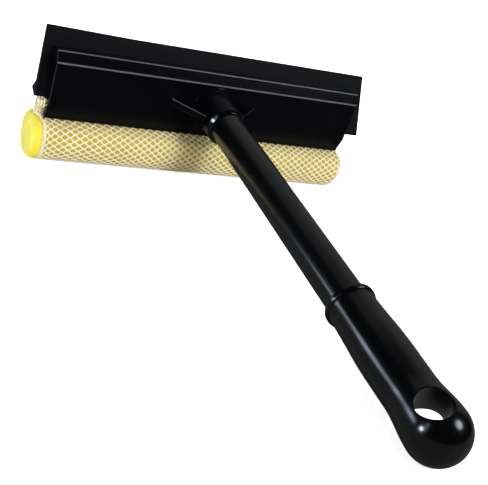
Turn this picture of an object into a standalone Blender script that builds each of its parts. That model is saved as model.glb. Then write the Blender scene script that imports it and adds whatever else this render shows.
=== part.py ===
"""Window squeegee with a rubber blade, a netted foam roll and a screw-in handle.

Lengths are in metres. The head is drawn in its own upright frame, in which the handle's axis is level:
"out" is the distance in front of the cover's flat panel, towards the handle, and "up" is the height
above the handle's axis. Everything is then leaned over until the roll and the grip's ball lie on the
floor, which is the plane z = 0.
"""

import math

import bmesh
import bpy
from mathutils import Matrix, Vector

# Gaps and general values
SEAT_GAP = 0.0003
OVERRUN = 0.004
ROUND_STEPS = 48
SMALL_ROUND_STEPS = 20
CORNER_STEPS = 4
SMOOTH_ANGLE = math.radians(32)
ROUNDED_ANGLE = math.radians(50)

# Front cover: a flat panel with a leaning rail above it and a leaning lip below it
COVER_LENGTH = 0.1878
PANEL_TOP = 0.0140
PANEL_BOTTOM = 0.0104
RAIL_WIDTH = 0.0069
RAIL_LEAN = math.radians(30.5)
LIP_WIDTH = 0.0107
LIP_LEAN = math.radians(19.6)
COVER_WALL = 0.0022
COVER_EDGE_ROUND = 0.0005
RAIL_RIDGE_ROUND = 0.0016
RAIL_EDGE_ROUND = 0.0008
FOLD_ROUND = 0.0010
LIP_END_ROUND = 0.0007
JAW_HEIGHT = 0.0274
JAW_LAND = 0.0032
POCKET_START = 0.0020
BAY_COUNT = 4
RIB_THICKNESS = 0.0018

# Socket for the handle, with a gusset on each side
SOCKET_LENGTH = 0.0219
SOCKET_FOOT_RADIUS = 0.0121
SOCKET_MOUTH_RADIUS = 0.0108
SOCKET_FOOT_FILLET = 0.0011
SOCKET_MOUTH_CHAMFER = 0.0006
SOCKET_FLOOR = 0.0010
CORE_MARGIN = 0.0024
GUSSET_SPREAD = 0.0252
GUSSET_HEIGHT = 0.0163
GUSSET_THICKNESS = 0.0046
GUSSET_ROUND = 0.0009

# Rubber blade: a tapered sheet with a barbed bead along its foot
BLADE_LENGTH = 0.2032
BLADE_OFFSET = 0.0029
BLADE_HEIGHT = 0.0371
BLADE_LEAN = math.radians(25.9)
BLADE_FOOT_DROP = 0.0076
BLADE_FOOT_DEPTH = 0.0030
BLADE_TIP_THICKNESS = 0.0020
BLADE_ROOT_THICKNESS = 0.0042
BLADE_FOOT_THICKNESS = 0.0030
BEAD_HEIGHT = 0.0082
BEAD_TIP_HEIGHT = 0.0050
BEAD_DEPTH = 0.0108
BEAD_ROUND = 0.0006
BLADE_LEFT_CUT = 0.0026
BLADE_RIGHT_CUT = 0.0013

# Rear cover: a thinner plate that swells over the bead and ends in a lip of its own
REAR_TOP = 0.0260
REAR_PLATE_THICKNESS = 0.0030
REAR_PLATE_FOOT = 0.0120
REAR_BEAD_WALL = 0.0026
REAR_SWELL_ROUND = 0.0032
REAR_LIP_THICKNESS = 0.0022
REAR_RIB_COUNT = 7
REAR_RIB_THICKNESS = 0.0016

# Screws that draw the two covers together through the blade
SCREW_HEIGHT = 0.0170
SCREW_RADIUS = 0.0015
SCREW_REACH = 0.0070
SCREW_HEAD_RADIUS = 0.0029
SCREW_HEAD_HEIGHT = 0.0019
SCREW_BOSS_WALL = 0.0022
SCREW_SEAT_DEPTH = 0.0016
SCREW_BAYS = (0, BAY_COUNT - 1)

# Net: hemmed round a bar that lies in a channel above the lips
BAR_RADIUS = 0.0012
BAR_LENGTH = 0.1900
NET_THICKNESS = 0.0008
NET_LENGTH = 0.1907
NET_OFFSET = 0.0011
NECK_LENGTH = 0.1927
NECK_OFFSET = -0.0028
CHANNEL_WALL = 0.0014

# Foam roll
FOAM_RADIUS = 0.0131
FOAM_LENGTH = 0.1996
FOAM_OFFSET = -0.0012
FOAM_END_ROUND = 0.0045
FOAM_END_STEPS = 6
FOAM_SEAT_SHARE = 0.882
ROLL_FORWARD = 0.0034
REST_FLAT_DEPTH = 0.0005

# Handle plug and collar ring
PLUG_RADIUS = 0.0080
PLUG_TIP_CLEARANCE = 0.0016
PLUG_TIP_CHAMFER = 0.0010
SPIGOT_LENGTH = 0.0260
SPIGOT_CHAMFER = 0.0010
RING_LENGTH = 0.0032
RING_RADIUS = 0.0113
RING_CHAMFER = 0.0009
RING_ROUND = 0.0004

# Pole
POLE_RADIUS = 0.0093
POLE_WALL = 0.0018
POLE_END = 0.2170

# Grip, whose stations are distances along the handle's axis from the panel
GRIP_START = 0.1790
GRIP_RING_WIDTH = 0.0032
GRIP_RING_RADIUS = 0.0117
GRIP_RING_ROUND = 0.0008
GRIP_NECK_RADIUS = 0.0108
GRIP_SWELL_STATION = 0.2145
GRIP_SWELL_RADIUS = 0.0116
GRIP_WAIST_STATION = 0.2330
GRIP_WAIST_RADIUS = 0.0113
BALL_STATION = 0.2531
BALL_RADIUS = 0.01335
HANG_HOLE_STATION = 0.2459
HANG_HOLE_SLANT = math.radians(17.8)
HANG_HOLE_RADIUS = 0.0083
HANG_HOLE_DRAFT = math.radians(4.4)
HANG_HOLE_RIM = 0.0005
HANDLE_TURN_AT_REST = math.radians(-22)
GRIP_STEPS = 6
BALL_STEPS = 10

# Colours, as linear red, green and blue
GLOSS_BLACK = (0.012, 0.012, 0.014)
MATTE_BLACK = (0.016, 0.016, 0.018)
FOAM_YELLOW = (0.86, 0.72, 0.10)
NET_CREAM = (0.86, 0.82, 0.66)
BAR_GREY = (0.30, 0.30, 0.30)
SCREW_STEEL = (0.55, 0.55, 0.56)


def clear_scene():
    for thing in list(bpy.data.objects):
        bpy.data.objects.remove(thing, do_unlink=True)


def make_material(name, colour, roughness, metallic=0.0):
    material = bpy.data.materials.new(name)
    material.use_nodes = True
    shader = material.node_tree.nodes["Principled BSDF"]
    shader.inputs["Base Color"].default_value = (*colour, 1.0)
    shader.inputs["Roughness"].default_value = roughness
    shader.inputs["Metallic"].default_value = metallic
    return material


# Section geometry: every section point is an (out, up) pair


def blade_point(along, front):
    """A section point "along" the blade from its foot and "front" of its front face."""
    out = -BLADE_FOOT_DEPTH - along * math.sin(BLADE_LEAN) + front * math.cos(BLADE_LEAN)
    up = -BLADE_FOOT_DROP + along * math.cos(BLADE_LEAN) + front * math.sin(BLADE_LEAN)
    return Vector((out, up))


def blade_thickness(along):
    share = (along - BEAD_HEIGHT) / (BLADE_HEIGHT - BEAD_HEIGHT)
    return BLADE_ROOT_THICKNESS + (BLADE_TIP_THICKNESS - BLADE_ROOT_THICKNESS) * share


def lip_down():
    return Vector((-math.sin(LIP_LEAN), -math.cos(LIP_LEAN)))


def lip_inward():
    return Vector((-math.cos(LIP_LEAN), math.sin(LIP_LEAN)))


def lip_front_end():
    return Vector((0, -PANEL_BOTTOM)) + lip_down() * LIP_WIDTH


def loop_radius():
    return BAR_RADIUS + SEAT_GAP + NET_THICKNESS


def channel_radius():
    return loop_radius() + SEAT_GAP


def channel_depth():
    """Distance from the lip's front face to the middle of the channel and of the slot under it."""
    return CHANNEL_WALL + channel_radius()


def bar_centre():
    """The bar lies in line with the lip, just clear of the blade's foot."""
    blade_lowest = blade_point(0, -BLADE_FOOT_THICKNESS).y
    start = Vector((0, -PANEL_BOTTOM)) + lip_inward() * channel_depth()
    drop = start.y - (blade_lowest - SEAT_GAP - loop_radius())
    return start + lip_down() * (drop / math.cos(LIP_LEAN))


def slot_end():
    """Where the middle of the slot between the two lips meets the plane of their ends."""
    return lip_front_end() + lip_inward() * channel_depth()


def foam_centre():
    seat = NET_THICKNESS + 2 * SEAT_GAP + SEAT_GAP
    return slot_end() + lip_down() * (seat + FOAM_RADIUS * FOAM_SEAT_SHARE) - lip_inward() * ROLL_FORWARD


def net_outer_radius():
    return FOAM_RADIUS + SEAT_GAP + NET_THICKNESS


def rest_lean():
    """The angle that lays the roll's flat and the grip's ball on one level plane."""
    centre = foam_centre()
    run = BALL_STATION - centre.x
    drop = net_outer_radius() - REST_FLAT_DEPTH - BALL_RADIUS
    return math.asin(drop / math.hypot(run, centre.y)) - math.atan2(centre.y, run)


def floor_direction():
    """The direction that is straight down once the part has been leaned over."""
    lean = rest_lean()
    return Vector((math.sin(lean), -math.cos(lean)))


def rounded_outline(corners):
    """Replaces each (point, radius) corner of a closed outline by an arc of that radius."""
    outline = []
    count = len(corners)
    for index, (point, radius) in enumerate(corners):
        before = (corners[index - 1][0] - point).normalized()
        after = (corners[(index + 1) % count][0] - point).normalized()
        if radius == 0:
            outline.append(point)
            continue
        half = before.angle(after) / 2
        centre = point + (before + after).normalized() * (radius / math.sin(half))
        start = point + before * (radius / math.tan(half)) - centre
        finish = point + after * (radius / math.tan(half)) - centre
        turn = start.angle_signed(finish)
        for step in range(CORNER_STEPS + 1):
            swung = start.copy()
            swung.rotate(Matrix.Rotation(-turn * step / CORNER_STEPS, 2))
            outline.append(centre + swung)
    return outline


def grown_outline(outline, margin):
    """Moves every side of a closed outline outward by the margin."""
    count = len(outline)
    area = sum(outline[i - 1].x * outline[i].y - outline[i].x * outline[i - 1].y for i in range(count))
    side = math.copysign(1, area)
    grown = []
    for index, point in enumerate(outline):
        first = (point - outline[index - 1]).normalized()
        second = (outline[(index + 1) % count] - point).normalized()
        first_normal = Vector((first.y, -first.x)) * side
        second_normal = Vector((second.y, -second.x)) * side
        middle = (first_normal + second_normal).normalized()
        grown.append(point + middle * (margin / middle.dot(first_normal)))
    return grown


def flatted_circle(centre, radius, flats, steps):
    """A circle with a flat for each (direction, distance from the centre)."""
    marks = []
    for direction, distance in flats:
        middle = math.atan2(direction.y, direction.x)
        half = math.acos(distance / radius)
        marks.append((middle - half, middle + half))
    marks.sort()
    outline = []
    for index, (_, leave) in enumerate(marks):
        arrive = marks[(index + 1) % len(marks)][0]
        sweep = (arrive - leave) % (2 * math.pi)
        pieces = max(2, round(steps * sweep / (2 * math.pi)))
        for step in range(pieces + 1):
            angle = leave + sweep * step / pieces
            outline.append(centre + Vector((math.cos(angle), math.sin(angle))) * radius)
    return outline


# Solid builders, in the head's frame: x along the blade, y opposite to "out", z "up"


def new_object(name, mesh, material=None):
    thing = bpy.data.objects.new(name, mesh)
    bpy.context.scene.collection.objects.link(thing)
    if material is None:
        thing.hide_render = True
        thing.display_type = "WIRE"
    else:
        mesh.materials.append(material)
        mesh.shade_smooth()
        mesh.set_sharp_from_angle(angle=SMOOTH_ANGLE)
    return thing


def finish_mesh(name, bm):
    bmesh.ops.recalc_face_normals(bm, faces=bm.faces)
    mesh = bpy.data.meshes.new(name)
    bm.to_mesh(mesh)
    bm.free()
    return mesh


def prism(name, outline, half_length, material=None, centre=0.0):
    """Extrudes a section outline along the blade's direction."""
    bm = bmesh.new()
    add_prism(bm, outline, centre - half_length, centre + half_length)
    return new_object(name, finish_mesh(name, bm), material)


def add_prism(bm, outline, start, finish):
    near = [bm.verts.new((start, -point.x, point.y)) for point in outline]
    face = bm.faces.new(near)
    result = bmesh.ops.extrude_face_region(bm, geom=[face])
    far = [item for item in result["geom"] if isinstance(item, bmesh.types.BMVert)]
    bmesh.ops.translate(bm, verts=far, vec=(finish - start, 0, 0))


def turned(name, profile, material=None, closed=False, steps=ROUND_STEPS):
    """Spins a profile of (out, radius) points round the handle's axis."""
    bm = bmesh.new()
    verts = [bm.verts.new((0, -out, radius)) for out, radius in profile]
    pairs = list(zip(verts, verts[1:]))
    if closed:
        pairs.append((verts[-1], verts[0]))
    edges = [bm.edges.new(pair) for pair in pairs]
    bmesh.ops.spin(
        bm, geom=verts + edges, cent=(0, 0, 0), axis=(0, 1, 0), angle=2 * math.pi, steps=steps, use_merge=True
    )
    bmesh.ops.remove_doubles(bm, verts=bm.verts, dist=SEAT_GAP / ROUND_STEPS)
    return new_object(name, finish_mesh(name, bm), material)


def add_rod(bm, start, finish, radius, steps):
    direction = finish - start
    frame = direction.to_track_quat("Z", "X").to_matrix().to_4x4()
    bmesh.ops.create_cone(
        bm, cap_ends=True, segments=steps, radius1=radius, radius2=radius, depth=direction.length,
        matrix=Matrix.Translation((start + finish) / 2) @ frame,
    )


def blade_rods(name, rods, material=None):
    """Rods square to the blade, each given as (x, near front, far front, radius)."""
    bm = bmesh.new()
    for x, near, far, radius in rods:
        first = blade_point(SCREW_HEIGHT, near)
        last = blade_point(SCREW_HEIGHT, far)
        add_rod(bm, Vector((x, -first.x, first.y)), Vector((x, -last.x, last.y)), radius, SMALL_ROUND_STEPS)
    return new_object(name, finish_mesh(name, bm), material)


def combine(thing, other, operation):
    step = thing.modifiers.new(f"{operation.lower()} {other.name}", "BOOLEAN")
    step.operation = operation
    step.solver = "EXACT"
    step.object = other
    other.parent = thing


def cut(thing, *cutters):
    for cutter in cutters:
        combine(thing, cutter, "DIFFERENCE")


def fuse(thing, *others):
    for other in others:
        combine(thing, other, "UNION")


def settle(thing):
    """Turns what a thing's modifiers make into its own mesh."""
    bpy.context.view_layer.update()
    evaluated = thing.evaluated_get(bpy.context.evaluated_depsgraph_get())
    thing.data = bpy.data.meshes.new_from_object(evaluated)
    thing.modifiers.clear()


def round_edges(thing, width, segments=2):
    step = thing.modifiers.new("rounded edges", "BEVEL")
    step.width = width
    step.segments = segments
    step.limit_method = "ANGLE"
    step.angle_limit = ROUNDED_ANGLE


# Blade


def blade_outline():
    return rounded_outline([
        (blade_point(0, 0), 0),
        (blade_point(BLADE_HEIGHT, 0), 0),
        (blade_point(BLADE_HEIGHT, -BLADE_TIP_THICKNESS), 0),
        (blade_point(BEAD_HEIGHT, -BLADE_ROOT_THICKNESS), 0),
        (blade_point(BEAD_TIP_HEIGHT, -BEAD_DEPTH), BEAD_ROUND),
        (blade_point(0, -BLADE_FOOT_THICKNESS), 0),
    ])


def bay_limits():
    """The inner and outer ends of the hollow bays on one side of the socket, from the inside out."""
    inner = SOCKET_FOOT_RADIUS + CORE_MARGIN
    outer = COVER_LENGTH / 2 - COVER_WALL
    width = (outer - inner - RIB_THICKNESS * (BAY_COUNT - 1)) / BAY_COUNT
    return [(inner + bay * (width + RIB_THICKNESS), inner + bay * (width + RIB_THICKNESS) + width)
            for bay in range(BAY_COUNT)]


def screw_places():
    limits = bay_limits()
    middles = [(limits[bay][0] + limits[bay][1]) / 2 for bay in SCREW_BAYS]
    return [side * middle for side in (-1, 1) for middle in middles]


def screw_seat():
    """How far behind the blade's front face the screw heads bear on the rear cover."""
    return blade_thickness(SCREW_HEIGHT) + SEAT_GAP + SCREW_SEAT_DEPTH


def screw_hole_cutter(name, near, far, extra=SEAT_GAP):
    return blade_rods(name, [(x, near, far, SCREW_RADIUS + extra) for x in screw_places()])


def trim_blade_ends(blade):
    """Cuts the blade's two ends back towards its working edge."""
    foot = blade_point(0, 0)
    rise = Vector((-math.sin(BLADE_LEAN), math.cos(BLADE_LEAN)))
    for vertex in blade.data.vertices:
        along = (Vector((-vertex.co.y, vertex.co.z)) - foot).dot(rise)
        trim = BLADE_LEFT_CUT if vertex.co.x < BLADE_OFFSET else -BLADE_RIGHT_CUT
        vertex.co.x += trim * along / BLADE_HEIGHT


def make_blade(material):
    blade = prism("rubber_blade", blade_outline(), BLADE_LENGTH / 2, material, centre=BLADE_OFFSET)
    trim_blade_ends(blade)
    cut(blade, screw_hole_cutter("blade_screw_holes", OVERRUN, -BLADE_ROOT_THICKNESS - OVERRUN))
    return blade


def blade_clearance(name):
    return prism(name, grown_outline(blade_outline(), SEAT_GAP), BLADE_LENGTH / 2 + OVERRUN)


# Channel and slot that hold the net's hem between the two covers


def slot_half_width():
    return NET_THICKNESS + SEAT_GAP


def channel_cutters(owner):
    """The hem's channel, the throat up to the blade's foot and the slot down past the lips."""
    centre = bar_centre()
    across = lip_inward()
    throat_half = channel_radius() * math.sqrt(0.5)
    throat = [
        blade_point(BLADE_FOOT_THICKNESS / 2, 0),
        blade_point(BLADE_FOOT_THICKNESS / 2, -BLADE_FOOT_THICKNESS),
        centre + across * throat_half,
        centre - across * throat_half,
    ]
    low_end = slot_end() + lip_down() * OVERRUN
    slot = [
        centre - across * slot_half_width(),
        centre + across * slot_half_width(),
        low_end + across * slot_half_width(),
        low_end - across * slot_half_width(),
    ]
    half = COVER_LENGTH / 2 + OVERRUN
    channel = circle_outline(centre, channel_radius(), SMALL_ROUND_STEPS)
    return [
        prism(f"{owner}_channel", channel, half),
        prism(f"{owner}_throat", throat, half),
        prism(f"{owner}_slot", slot, half),
    ]


def circle_outline(centre, radius, steps):
    turns = [2 * math.pi * step / steps for step in range(steps)]
    return [centre + Vector((math.cos(turn), math.sin(turn))) * radius for turn in turns]


# Front cover


def rail_edge():
    return Vector((-math.sin(RAIL_LEAN) * RAIL_WIDTH, PANEL_TOP + math.cos(RAIL_LEAN) * RAIL_WIDTH))


def front_of_blade(point):
    """How far in front of the blade's front face a section point lies."""
    foot = blade_point(0, 0)
    return (point - foot).dot(Vector((math.cos(BLADE_LEAN), math.sin(BLADE_LEAN))))


def front_cover_outline():
    return rounded_outline([
        (lip_front_end(), LIP_END_ROUND),
        (Vector((0, -PANEL_BOTTOM)), FOLD_ROUND),
        (Vector((0, PANEL_TOP)), RAIL_RIDGE_ROUND),
        (rail_edge(), RAIL_EDGE_ROUND),
        (blade_point(JAW_HEIGHT, SEAT_GAP), 0),
        (blade_point(JAW_HEIGHT, -BLADE_TIP_THICKNESS / 2), 0),
        (blade_point(0, -BLADE_TIP_THICKNESS / 2), 0),
        (bar_centre(), 0),
        (slot_end(), 0),
    ])


def pocket_outline():
    """The hollow behind the panel, open towards the blade."""
    top = JAW_HEIGHT - JAW_LAND
    foot = blade_point(0, 0)
    low = (-POCKET_START - foot.y) / math.cos(BLADE_LEAN)
    return [
        Vector((-COVER_WALL, -POCKET_START)),
        Vector((-COVER_WALL, PANEL_TOP - COVER_WALL * math.tan(RAIL_LEAN / 2))),
        blade_point(top, front_of_blade(rail_edge()) - COVER_WALL),
        blade_point(top, -BLADE_TIP_THICKNESS),
        blade_point(low, -BLADE_TIP_THICKNESS),
    ]


def make_bays():
    """The hollow bays, each stopped short of the ribs and holding back a boss for its screw."""
    bm = bmesh.new()
    for side in (-1, 1):
        for inner, outer in bay_limits():
            add_prism(bm, pocket_outline(), side * inner, side * outer)
    bays = new_object("front_cover_bays", finish_mesh("front_cover_bays", bm))
    boss = SCREW_RADIUS + SCREW_BOSS_WALL
    bosses = blade_rods("front_cover_bosses", [(x, PANEL_TOP + OVERRUN, -OVERRUN, boss) for x in screw_places()])
    cut(bays, bosses)
    return bays


def make_socket():
    fillet = [
        (SOCKET_FOOT_FILLET * (1 - math.cos(angle)), SOCKET_FOOT_RADIUS + SOCKET_FOOT_FILLET * (1 - math.sin(angle)))
        for angle in [math.pi / 2 * step / CORNER_STEPS for step in range(CORNER_STEPS + 1)]
    ]
    profile = [(-COVER_WALL / 2, 0), (-COVER_WALL / 2, fillet[0][1])] + fillet + [
        (SOCKET_LENGTH - SOCKET_MOUTH_CHAMFER, SOCKET_MOUTH_RADIUS),
        (SOCKET_LENGTH, SOCKET_MOUTH_RADIUS - SOCKET_MOUTH_CHAMFER),
        (SOCKET_LENGTH, 0),
    ]
    return turned("front_cover_socket", profile)


def make_gussets():
    """A flat web that runs from the panel up both sides of the socket."""
    slope = GUSSET_HEIGHT / (GUSSET_SPREAD - SOCKET_MOUTH_RADIUS)
    sunk = COVER_WALL / 3
    foot = GUSSET_SPREAD + sunk / slope
    corners = [(-foot, -sunk), (foot, -sunk), (SOCKET_MOUTH_RADIUS, GUSSET_HEIGHT), (-SOCKET_MOUTH_RADIUS, GUSSET_HEIGHT)]
    bm = bmesh.new()
    face = bm.faces.new([bm.verts.new((x, -out, -GUSSET_THICKNESS / 2)) for x, out in corners])
    result = bmesh.ops.extrude_face_region(bm, geom=[face])
    top = [item for item in result["geom"] if isinstance(item, bmesh.types.BMVert)]
    bmesh.ops.translate(bm, verts=top, vec=(0, 0, GUSSET_THICKNESS))
    gussets = new_object("front_cover_gussets", finish_mesh("front_cover_gussets", bm))
    round_edges(gussets, GUSSET_ROUND)
    return gussets


def make_bore():
    radius = PLUG_RADIUS + SEAT_GAP
    profile = [
        (SOCKET_FLOOR, 0),
        (SOCKET_FLOOR, radius),
        (SOCKET_LENGTH - SOCKET_MOUTH_CHAMFER, radius),
        (SOCKET_LENGTH + OVERRUN, radius + SOCKET_MOUTH_CHAMFER + OVERRUN),
        (SOCKET_LENGTH + OVERRUN, 0),
    ]
    return turned("front_cover_bore", profile)


def make_front_cover(material):
    cover = prism("front_cover", front_cover_outline(), COVER_LENGTH / 2, material)
    round_edges(cover, COVER_EDGE_ROUND)
    fuse(cover, make_socket(), make_gussets())
    cut(cover, make_bays(), make_bore(), blade_clearance("front_cover_blade_clearance"))
    cut(cover, *channel_cutters("front_cover"))
    cut(cover, screw_hole_cutter("front_cover_screw_holes", SCREW_REACH + SEAT_GAP, -OVERRUN))
    return cover


# Rear cover


def rear_face(along):
    """How far behind the blade's front face the rear plate's outer face lies."""
    return blade_thickness(along) + SEAT_GAP + REAR_PLATE_THICKNESS


def rear_cover_outline():
    rear_lip = slot_end() + lip_inward() * (slot_half_width() + REAR_LIP_THICKNESS)
    return rounded_outline([
        (blade_point(REAR_TOP, -BLADE_TIP_THICKNESS / 2), 0),
        (blade_point(REAR_TOP, -rear_face(REAR_TOP)), LIP_END_ROUND),
        (blade_point(REAR_PLATE_FOOT, -rear_face(REAR_PLATE_FOOT)), REAR_SWELL_ROUND),
        (blade_point(BEAD_TIP_HEIGHT + REAR_BEAD_WALL / 2, -BEAD_DEPTH - REAR_BEAD_WALL), REAR_BEAD_WALL),
        (blade_point(0, -BEAD_DEPTH), REAR_SWELL_ROUND / 2),
        (rear_lip, LIP_END_ROUND),
        (slot_end(), 0),
        (bar_centre(), 0),
        (blade_point(0, -BLADE_TIP_THICKNESS / 2), 0),
    ])


def rear_rib_outline():
    """A web that fills the hollow curve between the plate and the swelling over the bead."""
    high = REAR_TOP - REAR_PLATE_THICKNESS
    return [
        blade_point(high, -rear_face(high) + REAR_PLATE_THICKNESS / 2),
        blade_point(high, -rear_face(high) - COVER_EDGE_ROUND),
        blade_point(BEAD_TIP_HEIGHT + REAR_BEAD_WALL, -BEAD_DEPTH - REAR_BEAD_WALL / 2),
        blade_point(BEAD_HEIGHT, -rear_face(BEAD_HEIGHT) + REAR_PLATE_THICKNESS / 2),
    ]


def rear_rib_places():
    spacing = COVER_LENGTH / (REAR_RIB_COUNT + 1)
    return [spacing * (index + 1) - COVER_LENGTH / 2 for index in range(REAR_RIB_COUNT)]


def make_rear_ribs():
    bm = bmesh.new()
    for x in rear_rib_places():
        add_prism(bm, rear_rib_outline(), x - REAR_RIB_THICKNESS / 2, x + REAR_RIB_THICKNESS / 2)
    return new_object("rear_cover_ribs", finish_mesh("rear_cover_ribs", bm))


def make_rear_bosses():
    radius = SCREW_HEAD_RADIUS + SEAT_GAP + SCREW_BOSS_WALL / 2
    top = screw_seat() + SEAT_GAP + SCREW_HEAD_HEIGHT + SEAT_GAP
    base = blade_thickness(SCREW_HEIGHT) + SEAT_GAP + COVER_EDGE_ROUND
    return blade_rods("rear_cover_bosses", [(x, -base, -top, radius) for x in screw_places()])


def make_rear_cover(material):
    cover = prism("rear_cover", rear_cover_outline(), COVER_LENGTH / 2, material)
    round_edges(cover, COVER_EDGE_ROUND)
    fuse(cover, make_rear_ribs(), make_rear_bosses())
    head = SCREW_HEAD_RADIUS + SEAT_GAP
    seats = [(x, -screw_seat(), -BEAD_DEPTH - OVERRUN, head) for x in screw_places()]
    cut(cover, blade_clearance("rear_cover_blade_clearance"))
    cut(cover, *channel_cutters("rear_cover"))
    cut(cover, blade_rods("rear_cover_head_seats", seats))
    cut(cover, screw_hole_cutter("rear_cover_screw_holes", OVERRUN, -BEAD_DEPTH))
    return cover


def make_screws(material):
    """Four alike screws that share one mesh: a domed head on a plain shank, square to the blade."""
    head_face = -screw_seat() - SEAT_GAP
    head_end = head_face - SCREW_HEAD_HEIGHT
    profile = [
        (SCREW_REACH, 0),
        (SCREW_REACH, SCREW_RADIUS),
        (head_face, SCREW_RADIUS),
        (head_face, SCREW_HEAD_RADIUS),
        ((head_face + head_end) / 2, SCREW_HEAD_RADIUS),
        (head_end, SCREW_HEAD_RADIUS / 2),
        (head_end, 0),
    ]
    screws = [turned("cover_screw_1", profile, material, steps=SMALL_ROUND_STEPS)]
    while len(screws) < len(screw_places()):
        screw = bpy.data.objects.new(f"cover_screw_{len(screws) + 1}", screws[0].data)
        bpy.context.scene.collection.objects.link(screw)
        screws.append(screw)
    axis_point = blade_point(SCREW_HEIGHT, 0)
    for screw, x in zip(screws, sorted(screw_places())):
        screw.location = (x, -axis_point.x, axis_point.y)
        screw.rotation_euler.x = -BLADE_LEAN
    return screws


# Foam roll and net


def roll_outline(margin):
    """The roll's section, grown by the margin: flat under the lips and flat on the floor."""
    radius = FOAM_RADIUS + margin
    flats = [
        (-lip_down(), FOAM_RADIUS * FOAM_SEAT_SHARE + margin),
        (floor_direction(), radius - REST_FLAT_DEPTH),
    ]
    return flatted_circle(foam_centre(), radius, flats, ROUND_STEPS)


def make_foam(material):
    """Lofts the roll's section along its length and draws it in over the rounded ends."""
    centre = foam_centre()
    straight = FOAM_LENGTH / 2 - FOAM_END_ROUND
    turns = [math.pi / 2 * step / FOAM_END_STEPS for step in range(FOAM_END_STEPS + 1)]
    stations = [
        (straight + FOAM_END_ROUND * math.sin(turn), 1 - (1 - math.cos(turn)) * FOAM_END_ROUND / FOAM_RADIUS)
        for turn in turns
    ]
    rings = [(-x, size) for x, size in reversed(stations)] + stations
    bm = bmesh.new()
    loops = []
    for x, size in rings:
        outline = [centre + (point - centre) * size for point in roll_outline(0)]
        loops.append([bm.verts.new((FOAM_OFFSET + x, -point.x, point.y)) for point in outline])
    for near, far in zip(loops, loops[1:]):
        for index in range(len(near)):
            after = (index + 1) % len(near)
            bm.faces.new((near[index], near[after], far[after], far[index]))
    bm.faces.new(loops[0])
    bm.faces.new(loops[-1])
    return new_object("foam_roll", finish_mesh("foam_roll", bm), material)


def make_net(material):
    """A thin sleeve round the foam, whose two edges rise as a neck and loop round the bar."""
    half = NECK_LENGTH / 2
    net = prism("net_sleeve", roll_outline(SEAT_GAP + NET_THICKNESS), NET_LENGTH / 2, material, centre=NET_OFFSET)
    across = lip_inward() * NET_THICKNESS
    low = slot_end() + lip_down() * (4 * SEAT_GAP + NET_THICKNESS)
    high = bar_centre()
    neck = prism("net_neck", [high - across, high + across, low + across, low - across], half, centre=NECK_OFFSET)
    loop = prism("net_loop", circle_outline(high, loop_radius(), SMALL_ROUND_STEPS), half, centre=NECK_OFFSET)
    fuse(net, neck, loop)
    reach = FOAM_LENGTH / 2 + OVERRUN
    room = BAR_RADIUS + SEAT_GAP
    hollow = prism("net_hollow", roll_outline(SEAT_GAP), reach, centre=FOAM_OFFSET)
    eye = prism("net_eye", circle_outline(high, room, SMALL_ROUND_STEPS), half + OVERRUN, centre=NECK_OFFSET)
    cut(net, hollow, eye)
    return net


def make_bar(material):
    outline = circle_outline(bar_centre(), BAR_RADIUS, SMALL_ROUND_STEPS)
    return prism("net_bar", outline, BAR_LENGTH / 2, material, centre=NECK_OFFSET)


# Handle


def ring_start():
    return SOCKET_LENGTH + SEAT_GAP


def ring_end():
    return ring_start() + RING_LENGTH


def pole_start():
    return ring_end() + SEAT_GAP


def spigot_radius():
    return POLE_RADIUS - POLE_WALL - SEAT_GAP


def make_plug(material):
    """The threaded plug, with the spigot that carries the ring and fills the pole's end."""
    tip = SOCKET_FLOOR + PLUG_TIP_CLEARANCE
    end = pole_start() + SPIGOT_LENGTH
    profile = [
        (tip, 0),
        (tip, PLUG_RADIUS - PLUG_TIP_CHAMFER),
        (tip + PLUG_TIP_CHAMFER, PLUG_RADIUS),
        (SOCKET_LENGTH, PLUG_RADIUS),
        (SOCKET_LENGTH, spigot_radius()),
        (end - SPIGOT_CHAMFER, spigot_radius()),
        (end, spigot_radius() - SPIGOT_CHAMFER),
        (end, 0),
    ]
    return turned("handle_plug", profile, material)


def make_ring(material):
    inner = spigot_radius() + SEAT_GAP
    profile = [
        (ring_start(), inner),
        (ring_start(), RING_RADIUS - RING_ROUND),
        (ring_start() + RING_ROUND, RING_RADIUS),
        (ring_end() - RING_CHAMFER, RING_RADIUS),
        (ring_end(), RING_RADIUS - RING_CHAMFER),
        (ring_end(), inner),
    ]
    return turned("collar_ring", profile, material, closed=True)


def make_pole(material):
    inner = POLE_RADIUS - POLE_WALL
    profile = [(pole_start(), inner), (pole_start(), POLE_RADIUS), (POLE_END, POLE_RADIUS), (POLE_END, inner)]
    return turned("pole_tube", profile, material, closed=True)


def eased(share):
    return (1 - math.cos(math.pi * share)) / 2


def grip_stations():
    """The grip's outside as (out, radius) points, from behind its ring to the ball's end."""
    marks = [
        (GRIP_START + GRIP_RING_WIDTH, GRIP_NECK_RADIUS),
        (GRIP_SWELL_STATION, GRIP_SWELL_RADIUS),
        (GRIP_WAIST_STATION, GRIP_WAIST_RADIUS),
        (BALL_STATION, BALL_RADIUS),
    ]
    points = []
    for (start, first), (finish, last) in zip(marks, marks[1:]):
        for step in range(GRIP_STEPS):
            share = step / GRIP_STEPS
            points.append((start + (finish - start) * share, first + (last - first) * eased(share)))
    for step in range(BALL_STEPS + 1):
        angle = math.pi / 2 * step / BALL_STEPS
        points.append((BALL_STATION + BALL_RADIUS * math.sin(angle), BALL_RADIUS * math.cos(angle)))
    points[-1] = (points[-1][0], 0)
    return points


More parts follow.
